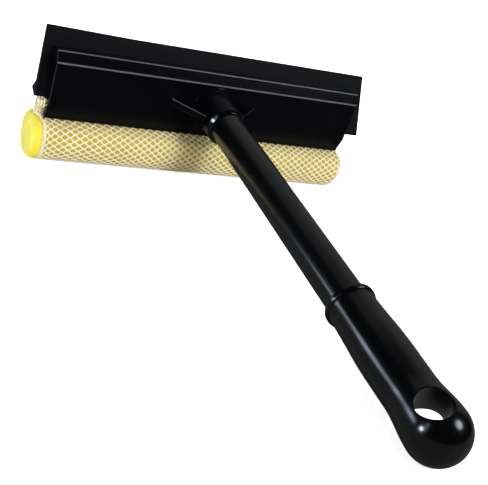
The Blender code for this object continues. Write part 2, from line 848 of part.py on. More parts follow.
def make_grip_mouth():
    """The bead round the grip's mouth, and the bore that the pole is pushed into."""
    bore = POLE_RADIUS + SEAT_GAP
    floor = POLE_END + SEAT_GAP
    ring_finish = GRIP_START + GRIP_RING_WIDTH
    return [
        (floor, 0),
        (floor, bore),
        (GRIP_START, bore),
        (GRIP_START, GRIP_RING_RADIUS - GRIP_RING_ROUND),
        (GRIP_START + GRIP_RING_ROUND, GRIP_RING_RADIUS),
        (ring_finish - GRIP_RING_ROUND, GRIP_RING_RADIUS),
        (ring_finish, (GRIP_RING_RADIUS + GRIP_NECK_RADIUS) / 2),
    ]


def make_hang_hole():
    """A tapering cutter that slants through the ball and is wider at the bottom."""
    reach = BALL_RADIUS + OVERRUN
    widening = reach * math.tan(HANG_HOLE_DRAFT)
    bm = bmesh.new()
    bmesh.ops.create_cone(
        bm, cap_ends=True, segments=ROUND_STEPS, radius1=HANG_HOLE_RADIUS + widening,
        radius2=HANG_HOLE_RADIUS - widening, depth=reach * 2,
    )
    hole = new_object("hang_hole", finish_mesh("hang_hole", bm))
    hole.data.transform(Matrix.Rotation(HANG_HOLE_SLANT, 4, "X"))
    hole.data.transform(Matrix.Translation((0, -HANG_HOLE_STATION, 0)))
    return hole


def round_hole_rims(grip):
    """Rounds the two edges where the hang hole breaks through the ball."""
    settle(grip)
    bm = bmesh.new()
    bm.from_mesh(grip.data)
    nearest = HANG_HOLE_STATION - BALL_RADIUS
    rims = [
        edge for edge in bm.edges
        if edge.calc_face_angle(0) > ROUNDED_ANGLE and all(-vert.co.y > nearest for vert in edge.verts)
    ]
    bmesh.ops.bevel(bm, geom=rims, offset=HANG_HOLE_RIM, segments=2, profile=0.5, affect="EDGES")
    bm.to_mesh(grip.data)
    bm.free()


def make_grip(material):
    grip = turned("grip", make_grip_mouth() + grip_stations(), material)
    cut(grip, make_hang_hole())
    round_hole_rims(grip)
    grip.data.set_sharp_from_angle(angle=SMOOTH_ANGLE)
    return grip


# Assembly


def make_empty(name, parent=None):
    empty = bpy.data.objects.new(name, None)
    bpy.context.scene.collection.objects.link(empty)
    empty.parent = parent
    return empty


def lay_on_floor(frame, pieces):
    """Leans the frame over, then centres the part over the origin with its lowest point at zero."""
    frame.rotation_euler.x = rest_lean()
    bpy.context.view_layer.update()
    depsgraph = bpy.context.evaluated_depsgraph_get()
    corners = []
    for piece in pieces:
        evaluated = piece.evaluated_get(depsgraph)
        corners += [piece.matrix_world @ vertex.co for vertex in evaluated.data.vertices]
    low = Vector([min(corner[axis] for corner in corners) for axis in range(3)])
    high = Vector([max(corner[axis] for corner in corners) for axis in range(3)])
    frame.location = -Vector(((low.x + high.x) / 2, (low.y + high.y) / 2, low.z))


def main():
    clear_scene()
    gloss = make_material("gloss_black_plastic", GLOSS_BLACK, 0.22)
    rear_gloss = make_material("rear_black_plastic", GLOSS_BLACK, 0.30)
    rubber = make_material("black_rubber", MATTE_BLACK, 0.62)
    foam = make_material("yellow_foam", FOAM_YELLOW, 0.90)
    net = make_material("cream_net", NET_CREAM, 0.75)
    bar = make_material("grey_plastic", BAR_GREY, 0.50)
    steel = make_material("zinc_steel", SCREW_STEEL, 0.35, 1.0)
    plug = make_material("plug_black_plastic", GLOSS_BLACK, 0.35)
    ring = make_material("ring_black_plastic", GLOSS_BLACK, 0.20)
    pole = make_material("pole_black_plastic", GLOSS_BLACK, 0.24)
    grip = make_material("grip_black_plastic", GLOSS_BLACK, 0.20)

    rest_frame = make_empty("rest_frame")
    handle_axis = make_empty("handle_axis", rest_frame)
    handle_axis.rotation_euler.y = HANDLE_TURN_AT_REST

    head = [
        make_front_cover(gloss),
        make_rear_cover(rear_gloss),
        make_blade(rubber),
        *make_screws(steel),
        make_bar(bar),
        make_net(net),
        make_foam(foam),
        make_ring(ring),
    ]
    handle = [make_plug(plug), make_pole(pole), make_grip(grip)]
    for piece in head:
        piece.parent = rest_frame
    for piece in handle:
        piece.parent = handle_axis
    lay_on_floor(rest_frame, head + handle)


main()
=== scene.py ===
"""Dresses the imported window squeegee: materials, netted foam roll, blade, screws, threads, handle, stage.

Lengths are in metres unless a comment says millimetres. The head's frame has coordinates (x, out, up) of
the squeegee held upright, where out runs along the handle's axis from the cover's flat panel. place()
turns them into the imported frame.
"""

import math

import bmesh
import bpy
import numpy as np
from mathutils import Matrix, Vector, noise


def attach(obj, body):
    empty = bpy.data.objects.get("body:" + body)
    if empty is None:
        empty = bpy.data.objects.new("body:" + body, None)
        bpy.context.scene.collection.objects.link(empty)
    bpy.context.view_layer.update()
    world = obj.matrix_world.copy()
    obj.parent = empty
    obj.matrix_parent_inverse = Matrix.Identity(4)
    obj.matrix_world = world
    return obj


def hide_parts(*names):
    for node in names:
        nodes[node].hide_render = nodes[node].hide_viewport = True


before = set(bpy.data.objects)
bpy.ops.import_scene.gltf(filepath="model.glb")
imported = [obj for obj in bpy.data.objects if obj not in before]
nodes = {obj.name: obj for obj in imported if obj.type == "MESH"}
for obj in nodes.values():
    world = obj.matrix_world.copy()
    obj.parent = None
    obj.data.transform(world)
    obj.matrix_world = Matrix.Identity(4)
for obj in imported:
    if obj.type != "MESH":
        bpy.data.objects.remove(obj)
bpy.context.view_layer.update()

MM = 0.001

# Where the head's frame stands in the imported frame
LEAN = math.radians(7.2123)
HEAD_ORIGIN = Vector((-0.00175, 0.1187973, 0.0451259))
HEAD_TURN = Matrix.Rotation(LEAN, 3, "X")

# How far the handle is turned about its own axis at rest
HANDLE_TURN = math.radians(-22)

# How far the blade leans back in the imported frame, and its screws slant in the head's frame
BLADE_LEAN = math.radians(18.7)
SCREW_LEAN = math.radians(25.9)

# The roll's section: out and up of its centre, its radius, and its flats at the lips and on the floor
ROLL_CENTRE = np.array([-8.601, -32.765]) * MM
ROLL_RADIUS = 13.1 * MM
LIP_LEAN = math.radians(19.6)
UP_THE_LIP = np.array([math.sin(LIP_LEAN), math.cos(LIP_LEAN)])
INWARD = np.array([-math.cos(LIP_LEAN), math.sin(LIP_LEAN)])
TO_FLOOR = np.array([math.sin(LEAN), -math.cos(LEAN)])
SEAT_FLAT = ROLL_RADIUS * 0.882
FLOOR_FLAT = ROLL_RADIUS - 0.5 * MM
FLAT_BLEND = 0.35 * MM

# The bar that holds the net's hem, and the end of the slot between the lips
BAR_CENTRE = np.array([-4.641, -11.510]) * MM
SLOT_END = np.array([-7.358, -19.138]) * MM

# Ends, all along x in the head's frame
FOAM_LEFT, FOAM_RIGHT = -101.0 * MM, 98.2 * MM
NET_LEFT, NET_RIGHT_TURN = -94.25 * MM, 94.2 * MM
NECK_LEFT, NECK_RIGHT = -99.1 * MM, 93.5 * MM

# The net: how wide its diamonds are at distances along the roll, how many go round, its two-ply yarn, how
# far its middle stands off the foam's circle, and how far its yarns swing in and out as they cross
DIAMOND_AT = np.array([0, 4, 9, 30, 56, 70, 120, 240]) * MM
DIAMOND_WIDE = np.array([3.8, 4.6, 5.6, 5.7, 5.0, 4.85, 5.05, 5.05]) * MM
DIAMONDS_ROUND = 30
YARN_HALF_WIDTH = 0.64 * MM
YARN_HALF_DEPTH = 0.28 * MM
YARN_CORNERS = 6
NET_LIFT = 0.52 * MM
WEAVE = 0.10 * MM

# One ply's size, and how far it stands off the yarn's middle, as shares of the yarn's half width and depth
PLY_WIDTH, PLY_DEPTH = 0.62, 0.72
PLY_ASIDE, PLY_PROUD = 0.48, 0.40

# How the net turns in over the roll's right end
END_TURN_RADIUS = 4.6 * MM
END_TURN = math.radians(78)

# The three strands of the net's drawn-in edge between the lips
NECK_STRANDS = (0.45 * MM, 2.0 * MM, 3.55 * MM)
STRAND_HALF_WIDTH = 0.46 * MM
STRAND_HALF_DEPTH = 0.36 * MM

# The foam: points round, rings along its body, how much fuller its bare left band is, how deep the yarns
# press it and how far it comes back between them, and its rounded rims
FOAM_TURNS = 200
FOAM_STEP = 0.5 * MM
BODY_LEFT, BODY_RIGHT = -96.4 * MM, 93.6 * MM
BARE_SWELL = 0.45 * MM
PRESSED = -0.22 * MM
BULGE = 0.34 * MM
RIM_LENGTH = 4.6 * MM
RIM_DROP = 4.4 * MM

# The blade's left corner: where its running out and its rise begin and would be whole, how far its foot and
# its top run out, and how far its top edge rises
RUN_OUT_FROM, RUN_OUT_TO = -88 * MM, -98 * MM
RISE_FROM, RISE_TO = -48 * MM, -100 * MM
FOOT_RUN_OUT = 2.2 * MM
TOP_RUN_OUT = 1.6 * MM
EDGE_RISE = 1.05 * MM

# The handle's thread, and how many points go round screws, plug and the handle's other pieces
THREAD_PITCH = 4.0 * MM
SCREW_TURNS = 40
PLUG_TURNS = 64
HANDLE_TURNS = 144

# The hang hole: how far out it is, its radius, how it widens downward, its slant, half its cutter's length,
# and the place of the waist, beyond which every sharp edge is the hole's
HOLE_OUT = 245.9 * MM
HOLE_RADIUS = 8.3 * MM
HOLE_TAPER = math.radians(4.4)
HOLE_SLANT = math.radians(17.8)
HOLE_REACH = 20 * MM
WAIST_OUT = 232 * MM

# The ball on the grip's end, in millimetres: how far out it starts, and its radius
BALL_START, BALL_RADIUS = 253.1, 13.35

# What camera and clear things see of floor and studio, what lights the object, and what its gloss mirrors
FLOOR_GLOW, STUDIO_SEEN = 0.78, 1.0
FLOOR_PALE, STUDIO_DIM = 0.93, 0.34
FLOOR_MIRRORED, ROOM_DARK, ROOM_PALE = 0.14, 0.010, 0.30

# The photograph's camera: rows are the picture's right, down and inward ways in the upright squeegee's axes
CAMERA_TURN = Matrix(
    (
        (0.8868351870, -0.3499369210, 0.3017750651),
        (0.0484949083, -0.5789821123, -0.8138987468),
        (0.4595341064, 0.7364286014, -0.4964915509),
    )
)
CAMERA_SHIFT = Vector((-17.851334, -77.397272, 511.619291)) * MM
FOCAL_PIXELS = 889.49
PHOTO_WIDTH = 488
SENSOR_WIDTH = 36.0

# Plastics: the deep and the lit colour of their clouds, roughness and its spread, specular level, the
# grain's scale and depth, and how clouds and grain are stretched
BLACK = ((0.0006, 0.0007, 0.0011), (0.0010, 0.0012, 0.0018))
COVER_BLACK = ((0.0013, 0.0014, 0.0022), (0.0018, 0.0020, 0.0030))
BAR_GREY = ((0.26, 0.26, 0.25), (0.34, 0.34, 0.33))
PLASTICS = {
    "cover_plastic": (COVER_BLACK, 0.2, 0.03, 0.08, 2400, 6e-6, (1, 1, 1)),
    "rear_plastic": (BLACK, 0.34, 0.05, 0.30, 2400, 2e-5, (1, 1, 1)),
    "handle_plastic": (BLACK, 0.2, 0.03, 0.45, 1800, 5e-6, (1, 0.6, 1)),
    "pole_coating": (BLACK, 0.24, 0.03, 0.45, 2600, 6e-6, (1, 0.4, 1)),
    "collar_plastic": (BLACK, 0.18, 0.03, 0.5, 1800, 5e-6, (1, 1, 1)),
    "bar_plastic": (BAR_GREY, 0.45, 0.06, 0.4, 2000, 5e-5, (1, 1, 1)),
}

# Painted highlights along the front cover's edges: two points of each edge in the head's frame and how far
# the painted highlight reaches, all in millimetres, and its colour
PAINTED_EDGE_HIGHLIGHTS = {
    "panel's top": ((0, 0.05, 14.0), (10, 0.05, 14.0), 0.62, (0.10, 0.105, 0.12)),
    "rail's top": ((0, -3.2, 19.75), (10, -3.2, 19.75), 0.62, (0.085, 0.09, 0.105)),
    "left web": ((-25.2, 0, 2.1), (-11.0, 16.3, 2.1), 0.6, (0.07, 0.072, 0.08)),
    "right web": ((25.2, 0, 2.1), (11.0, 16.3, 2.1), 0.6, (0.02, 0.021, 0.025)),
    "left end": ((-93.9, 0, 0), (-93.9, 0, 10), 0.5, (0.03, 0.031, 0.037)),
}


def place(x, out, up):
    """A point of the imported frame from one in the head's frame."""
    return HEAD_ORIGIN + HEAD_TURN @ Vector((x, -out, up))


def place_all(points):
    """The same for rows of x, out and up."""
    turned = np.array(HEAD_TURN)
    flipped = points * np.array([1.0, -1.0, 1.0])
    return flipped @ turned.T + np.array(HEAD_ORIGIN)


# Materials


def feed(tree, node, inputs):
    """Links a socket to each named input of a node, or sets a constant there."""
    for name, value in inputs.items():
        if isinstance(value, bpy.types.NodeSocket):
            tree.links.new(value, node.inputs[name])
        else:
            node.inputs[name].default_value = value


def add_node(tree, kind, inputs, **settings):
    """A new shader node with its settings made and its inputs fed."""
    node = tree.nodes.new("ShaderNode" + kind)
    for name, value in settings.items():
        setattr(node, name, value)
    feed(tree, node, inputs)
    return node


def new_material(name, colour, roughness, specular=0.5, metallic=0.0):
    material = bpy.data.materials.new(name)
    material.use_nodes = True
    tree = material.node_tree
    shader = tree.nodes["Principled BSDF"]
    feed(tree, shader, {"Base Color": (*colour, 1.0), "Roughness": roughness})
    feed(tree, shader, {"Specular IOR Level": specular, "Metallic": metallic})
    return material, tree, shader


def coordinates(tree, stretch=(1.0, 1.0, 1.0), turn=(0.0, 0.0, 0.0)):
    """A piece's own coordinates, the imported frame's at rest, turned and stretched."""
    own = add_node(tree, "TexCoord", {}).outputs["Object"]
    mapping = add_node(tree, "Mapping", {"Vector": own, "Scale": stretch, "Rotation": turn})
    return mapping.outputs["Vector"]


def noise_map(tree, vector, scale, detail, roughness=0.55):
    inputs = {"Vector": vector, "Scale": scale, "Detail": detail, "Roughness": roughness}
    return add_node(tree, "TexNoise", inputs).outputs["Fac"]


def cell_distance(tree, vector, scale):
    return add_node(tree, "TexVoronoi", {"Vector": vector, "Scale": scale}).outputs["Distance"]


def ramp(tree, value, stops):
    """Colours along a value: stops are (position, colour) pairs."""
    node = add_node(tree, "ValToRGB", {"Fac": value})
    elements = node.color_ramp.elements
    while len(elements) < len(stops):
        elements.new(0.5)
    for element, (position, colour) in zip(elements, stops):
        element.position = position
        element.color = (*colour, 1.0)
    return node.outputs["Color"]


def grey(value):
    return (value, value, value)


def bump(tree, height, strength, distance, below=None):
    inputs = {"Height": height, "Strength": strength, "Distance": distance}
    if below is not None:
        inputs["Normal"] = below
    return add_node(tree, "Bump", inputs).outputs["Normal"]


def blend(tree, share, first, second, kind="MIX"):
    """One colour changing into another: each a colour or a socket, and share a number or a socket."""
    first, second = ((*end, 1.0) if isinstance(end, tuple) else end for end in (first, second))
    inputs = {"Factor": share, "A": first, "B": second}
    return add_node(tree, "Mix", inputs, data_type="RGBA", blend_type=kind).outputs["Result"]


def between(tree, value, low, high):
    """0 below low, 1 above high, and a smooth rise from one to the other."""
    inputs = {"Value": value, "From Min": low, "From Max": high}
    return add_node(tree, "MapRange", inputs, interpolation_type="SMOOTHSTEP").outputs["Result"]


def combined(tree, operation, first, second):
    """Two sockets' values taken together by a Math node."""
    return add_node(tree, "Math", {0: first, 1: second}, operation=operation).outputs[0]


def axes_of(tree, vector):
    """A vector's X, Y and Z as sockets."""
    return add_node(tree, "SeparateXYZ", {"Vector": vector}).outputs


def plastic(name, tones, roughness, spread, specular, grain, grain_depth, stretch):
    """Moulded plastic: cloudy body colour, a fine grain, and gloss made uneven by handling marks."""
    deep, lit = tones
    material, tree, shader = new_material(name, deep, roughness, specular)
    vector = coordinates(tree, stretch)
    clouds = noise_map(tree, vector, scale=60, detail=4)
    across = coordinates(tree, stretch=(1.0, 0.12, 1.0), turn=(0.2, 0.4, 0.5))
    marks = noise_map(tree, across, scale=900, detail=5, roughness=0.7)
    glossy, dull = grey(roughness - spread), grey(roughness + spread)
    fine = noise_map(tree, vector, scale=grain, detail=1)
    inputs = {
        "Base Color": ramp(tree, clouds, [(0.35, deep), (0.7, lit)]),
        "Roughness": ramp(tree, marks, [(0.3, glossy), (0.72, dull)]),
        "Normal": bump(tree, fine, strength=0.2, distance=grain_depth),
    }
    feed(tree, shader, inputs)
    return material


def near_line(tree, start, way, reach):
    """1 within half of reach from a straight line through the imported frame, falling to 0 at reach."""
    apart = add_node(tree, "VectorMath", {0: coordinates(tree), 1: start}, operation="SUBTRACT")
    inputs = {0: apart.outputs["Vector"], 1: way.normalized()}
    crossed = add_node(tree, "VectorMath", inputs, operation="CROSS_PRODUCT")
    length = add_node(tree, "VectorMath", {0: crossed.outputs["Vector"]}, operation="LENGTH")
    return between(tree, length.outputs["Value"], reach, reach * 0.5)


def paint_edge_highlights(material):
    """Painted highlights: paler lines on the cover's edges, for the highlights its mesh's rounds are too
    coarse to catch.
    """
    tree = material.node_tree
    shader = tree.nodes["Principled BSDF"]
    body = shader.inputs["Base Color"].links[0].from_socket
    streaks = noise_map(tree, coordinates(tree, stretch=(0.3, 1, 1)), scale=400, detail=3)
    uneven = ramp(tree, streaks, [(0.25, grey(0.75)), (0.6, grey(1.0))])
    # Each edge gets a painted highlight, broken up by the streaks
    for start, finish, reach, colour in PAINTED_EDGE_HIGHLIGHTS.values():
        first, second = (place(*(k * MM for k in point)) for point in (start, finish))
        near = near_line(tree, first, second - first, reach * MM)
        body = blend(tree, combined(tree, "MULTIPLY", near, uneven), body, colour)
    tree.links.new(body, shader.inputs["Base Color"])


def rubber_material():
    """Black rubber: a dull bloom, fine lines left along it by the extruder, and small specks."""
    material, tree, shader = new_material("blade_rubber", (0.0055, 0.0058, 0.0075), 0.5, 0.12)
    bloom = noise_map(tree, coordinates(tree, stretch=(0.35, 1.0, 1.0)), scale=70, detail=5)
    lines = noise_map(tree, coordinates(tree, stretch=(0.02, 1.0, 1.0)), scale=2600, detail=3)
    specks = noise_map(tree, coordinates(tree), scale=1500, detail=2)
    drawn = bump(tree, lines, strength=0.3, distance=6e-5)
    inputs = {
        "Base Color": ramp(tree, bloom, [(0.3, (0.0022, 0.0024, 0.0034)), (0.75, (0.0037, 0.0039, 0.0053))]),
        "Roughness": ramp(tree, bloom, [(0.3, grey(0.42)), (0.8, grey(0.6))]),
        "Normal": bump(tree, specks, strength=0.2, distance=8e-5, below=drawn),
    }
    feed(tree, shader, inputs)
    return material


def soften(tree, shader, weight, radius):
    """Lets light spread under the surface, as far as radius says for red, green and blue."""
    feed(tree, shader, {"Subsurface Weight": weight, "Subsurface Radius": radius, "Subsurface Scale": 0.5})


def foam_material():
    """Open-celled yellow foam: pores of two sizes with painted shade in the larger, colour that drifts a
    little, and painted shade beside the cut end and under the net.
    """
    material, tree, shader = new_material("roll_foam", (0.92, 0.80, 0.13), 0.85, 0.12)
    vector = coordinates(tree)
    cells = cell_distance(tree, vector, 1500)
    pores = cell_distance(tree, vector, 700)
    drift = noise_map(tree, vector, scale=90, detail=3)
    bare = ramp(tree, drift, [(0.3, (0.87, 0.77, 0.140)), (0.7, (0.91, 0.82, 0.175))])
    # Painted shade: a duller colour for the foam the net holds, and a deeper one for the bare strip beside
    # the cut end
    held = ramp(tree, drift, [(0.3, (0.52, 0.42, 0.075)), (0.7, (0.60, 0.49, 0.095))])
    shaded_band = ramp(tree, drift, [(0.3, (0.80, 0.68, 0.060)), (0.7, (0.86, 0.74, 0.085))])
    # Painted shade in the larger pores, multiplied into the foam's colour
    pit_shade = ramp(tree, pores, [(0.0, (0.80, 0.66, 0.09)), (0.35, (1, 1, 1))])
    small = bump(tree, cells, strength=0.35, distance=1.5e-4)
    inputs = {
        "Base Color": blend(tree, 0.35, colour_along(tree, bare, shaded_band, held), pit_shade, kind="MULTIPLY"),
        "Normal": bump(tree, pores, strength=0.4, distance=3e-4, below=small),
    }
    feed(tree, shader, inputs)
    soften(tree, shader, 0.15, (0.004, 0.0032, 0.0006))
    return material


def colour_along(tree, bare, shaded_band, held):
    """The roll's colour: pale on its cut end, with painted shade on the bare strip beside it and where the
    net holds it.
    """
    x = axes_of(tree, coordinates(tree))["X"]
    foam_end = HEAD_ORIGIN.x + FOAM_LEFT
    net_end = HEAD_ORIGIN.x + NET_LEFT
    on_band = between(tree, x, foam_end + 0.6 * MM, foam_end + 4.0 * MM)
    in_net = between(tree, x, net_end - 0.9 * MM, net_end + 0.6 * MM)
    return blend(tree, in_net, blend(tree, on_band, bare, shaded_band), held)


def yarn_material():
    """Off-white polyester yarn: a fine fibrous grain, a soft sheen, slightly uneven whiteness."""
    material, tree, shader = new_material("net_yarn", (0.94, 0.84, 0.56), 0.5, 0.3)
    vector = coordinates(tree)
    tone = noise_map(tree, vector, scale=120, detail=3)
    fibres = noise_map(tree, vector, scale=5200, detail=2)
    inputs = {
        "Base Color": ramp(tree, tone, [(0.3, (0.90, 0.79, 0.49)), (0.7, (0.96, 0.87, 0.60))]),
        "Normal": bump(tree, fibres, strength=0.35, distance=8e-5),
        "Sheen Weight": 0.15,
    }
    feed(tree, shader, inputs)
    soften(tree, shader, 0.2, (0.001, 0.0009, 0.0006))
    return material


def steel_material():
    """Zinc-plated steel: cloudy brightness, duller where it is brighter, and a fine grain."""
    material, tree, shader = new_material("screw_zinc", (0.56, 0.57, 0.58), 0.3, metallic=1.0)
    vector = coordinates(tree)
    spots = noise_map(tree, vector, scale=800, detail=4)
    grain = noise_map(tree, vector, scale=3000, detail=2)
    inputs = {
        "Base Color": ramp(tree, spots, [(0.3, (0.42, 0.43, 0.45)), (0.7, (0.66, 0.67, 0.68))]),
        "Roughness": ramp(tree, spots, [(0.2, grey(0.22)), (0.8, grey(0.42))]),
        "Normal": bump(tree, grain, strength=0.2, distance=4e-5),
    }
    feed(tree, shader, inputs)
    return material


def make_materials():
    materials = {name: plastic(name, *look) for name, look in PLASTICS.items()}
    for material in (rubber_material(), foam_material(), yarn_material(), steel_material()):
        materials[material.name] = material
    paint_edge_highlights(materials["cover_plastic"])
    return materials


def give_material(thing, material):
    if not thing.material_slots:
        thing.data.materials.append(material)
    for slot in thing.material_slots:
        slot.material = material


# Meshes


def add_object(name, data):
    thing = bpy.data.objects.new(name, data)
    bpy.context.scene.collection.objects.link(thing)
    return thing


def mesh_from(name, bm):
    """A new mesh from a bmesh, which is freed."""
    mesh = bpy.data.meshes.new(name)
    bm.to_mesh(mesh)
    bm.free()
    return mesh


def mesh_object(name, points, faces, material):
    mesh = bpy.data.meshes.new(name)
    mesh.from_pydata([tuple(p) for p in points], [], [tuple(f) for f in faces])
    mesh.validate()
    mesh.shade_smooth()
    thing = add_object(name, mesh)
    thing.data.materials.append(material)
    return thing


def closed_object(name, points, faces, material):
    """The same for a closed surface, with every face turned outward."""
    thing = mesh_object(name, points, faces, material)
    bm = bmesh.new()
    bm.from_mesh(thing.data)
    bmesh.ops.recalc_face_normals(bm, faces=bm.faces)
    bm.to_mesh(thing.data)
    bm.free()
    return thing


def shade(mesh, sharp):
    """Smooth shading, except at edges that turn by more than sharp, in degrees."""
    mesh.shade_smooth()
    mesh.set_sharp_from_angle(angle=math.radians(sharp))


def smooth_least(a, b, width):
    """The lesser of two values, blended over a width where they meet."""
    share = np.clip(0.5 + 0.5 * (b - a) / width, 0, 1)
    return b * (1 - share) + a * share - width * share * (1 - share)


def section_radius(angle, margin=0.0):
    """Distance from the roll's centre to its outline: a circle, pressed flat at the seat and at the floor."""
    direction = np.stack([np.sin(angle), np.cos(angle)], -1)
    radius = np.full(np.shape(angle), ROLL_RADIUS + margin)
    facing_least = 0.3
    for way, depth in ((UP_THE_LIP, SEAT_FLAT), (TO_FLOOR, FLOOR_FLAT)):
        facing = direction @ way
        limit = (depth + margin) / np.maximum(facing, facing_least)
        radius = smooth_least(radius, np.where(facing > facing_least, limit, 1.0), FLAT_BLEND)
    return radius


def resampled(points, step):
    """A run of points at even spacing, and each one's distance along it."""
    gaps = np.linalg.norm(np.diff(points, axis=0), axis=1)
    length = np.concatenate([[0], np.cumsum(gaps)])
    count = int(round(length[-1] / step))
    at = np.linspace(0, length[-1], count + 1)
    return np.stack([np.interp(at, length, points[:, k]) for k in range(points.shape[1])], -1), at


def net_section():
    """The net's path round bar and roll, closed: (points, distance along, share of neck at each point)."""
    step = 0.35 * MM
    leave = math.radians(15)
    angles = np.linspace(LIP_LEAN + leave, LIP_LEAN + 2 * math.pi - leave, 220)
    radius = section_radius(angles, NET_LIFT)
    roll = ROLL_CENTRE + np.stack([np.sin(angles), np.cos(angles)], -1) * radius[:, None]
    down = -UP_THE_LIP
    layer = INWARD * 0.42 * MM
    ring = 1.9 * MM
    rise = ring * 0.9
    below_slot = down * 0.2 * MM
    low_front = SLOT_END - layer + below_slot
    low_rear = SLOT_END + layer + below_slot
    high_front = BAR_CENTRE - layer + down * rise
    high_rear = BAR_CENTRE + layer + down * rise
    mouth = 0.28
    turn = np.linspace(mouth, 2 * math.pi - mouth, 26)
    loop = [BAR_CENTRE + ring * (down * math.cos(t) + INWARD * math.sin(t)) for t in turn]
    run = np.array([*roll, low_rear, high_rear, *loop[::-1], high_front, low_front, roll[0]])
    for _ in range(3):
        run, _ = resampled(run, step)
        inner = run[:-1]
        inner = (np.roll(inner, 1, 0) + 2 * inner + np.roll(inner, -1, 0)) / 4
        run = np.vstack([inner, inner[:1]])
    run, at = resampled(run, step)
    above = (run - SLOT_END) @ UP_THE_LIP
    neck = np.clip(above / (1.2 * MM) + 0.9, 0, 1)
    return run, at, neck


class Fabric:
    """Maps net coordinates, distance round the section and distance along the roll, to points."""

    def __init__(self):
        self.run, self.at, self.neck = net_section()
        self.around = self.at[-1]
        tangent = np.gradient(self.run, self.at, axis=0)
        tangent /= np.linalg.norm(tangent, axis=1)[:, None]
        self.normal = np.stack([-tangent[:, 1], tangent[:, 0]], -1)
        away = self.run - ROLL_CENTRE
        if np.mean(np.sum(self.normal * away, axis=1)) < 0:
            self.normal = -self.normal
        self.pitch_round = self.around / DIAMONDS_ROUND
        self.straight = NET_RIGHT_TURN - NET_LEFT
        self.columns, self.lengths = self.column_lengths()

    def column_lengths(self):
        """Where each diamond column lies along the roll: the diamonds are narrower at the left edge."""
        step = 0.1 * MM
        lengths = np.arange(0, DIAMOND_AT[-1], step)
        rate = 1 / np.interp(lengths, DIAMOND_AT, DIAMOND_WIDE)
        columns = np.concatenate([[0], np.cumsum((rate[1:] + rate[:-1]) / 2 * step)])
        return columns, lengths

    def last_column(self):
        reach = self.straight + END_TURN_RADIUS * END_TURN
        return float(np.interp(reach, self.lengths, self.columns))

    def points(self, around, column, lift):
        """Points of the fabric, lifted off its middle by lift."""
        around = np.mod(around, self.around)
        out = np.interp(around, self.at, self.run[:, 0])
        up = np.interp(around, self.at, self.run[:, 1])
        normal = np.stack([np.interp(around, self.at, self.normal[:, k]) for k in (0, 1)], -1)
        neck = np.interp(around, self.at, self.neck)
        along = np.interp(column, self.columns, self.lengths)
        over = np.clip(along - self.straight, 0, None) / END_TURN_RADIUS
        x_roll = NET_LEFT + np.minimum(along, self.straight) + END_TURN_RADIUS * np.sin(over)
        drawn = (END_TURN_RADIUS * (1 - np.cos(over))) * (1 - neck)
        share = np.clip(along / self.straight, 0, 1)
        x_neck = NECK_LEFT + share * (NECK_RIGHT - NECK_LEFT)
        x = x_roll * (1 - neck) + x_neck * neck
        section = np.stack([out, up], -1) + normal * np.broadcast_to(lift, around.shape)[..., None]
        inward = ROLL_CENTRE - section
        inward /= np.linalg.norm(inward, axis=-1)[..., None]
        section = section + inward * drawn[..., None]
        return np.stack([x, section[..., 0], section[..., 1]], -1)


def sweep(line, side, proud, half_width, half_depth):
    """Verts and faces of a ply that follows a line: an oval section set across side and proud."""
    count = len(line)
    angle = np.arange(YARN_CORNERS) / YARN_CORNERS * 2 * math.pi
    across = np.broadcast_to(half_width, count)[:, None, None] * side[:, None, :]
    ring = np.cos(angle)[None, :, None] * across
    ring = ring + np.sin(angle)[None, :, None] * half_depth * proud[:, None, :]
    verts = (line[:, None, :] + ring).reshape(-1, 3)
    index = np.arange(count * YARN_CORNERS).reshape(count, YARN_CORNERS)
    after = np.roll(index, -1, axis=1)
    quads = np.stack([index[:-1], index[1:], after[1:], after[:-1]], -1).reshape(-1, 4)
    return verts, quads.tolist(), [index[0].tolist(), index[-1][::-1].tolist()]


def frame_along(line, proud_hint):
    """Unit vectors across a line, in and square to the fabric."""
    tangent = np.gradient(line, axis=0)
    tangent /= np.linalg.norm(tangent, axis=1)[:, None]
    proud = proud_hint - tangent * np.sum(proud_hint * tangent, axis=1)[:, None]
    proud /= np.linalg.norm(proud, axis=1)[:, None]
    return np.cross(proud, tangent), proud


class Skein:
    """Collects yarns into one mesh."""

    def __init__(self):
        self.verts, self.faces, self.count = [], [], 0

    def add(self, verts, quads, caps):
        self.verts.append(verts)
        self.faces += [[i + self.count for i in face] for face in quads + caps]
        self.count += len(verts)

    def twisted(self, line, proud_hint, half_width, half_depth, turn_length):
        """Two plies wound round each other along a line."""
        side, proud = frame_along(line, proud_hint)
        gaps = np.linalg.norm(np.diff(line, axis=0), axis=1)
        at = np.concatenate([[0], np.cumsum(gaps)])
        phase = at / turn_length * 2 * math.pi
        for ply in (0, math.pi):
            aside = (np.cos(phase + ply) * half_width * PLY_ASIDE)[:, None] * side
            lifted = np.sin(phase + ply)[:, None] * proud * half_depth * PLY_PROUD
            middle = line + aside + lifted
            self.add(*sweep(middle, side, proud, half_width * PLY_WIDTH, half_depth * PLY_DEPTH))


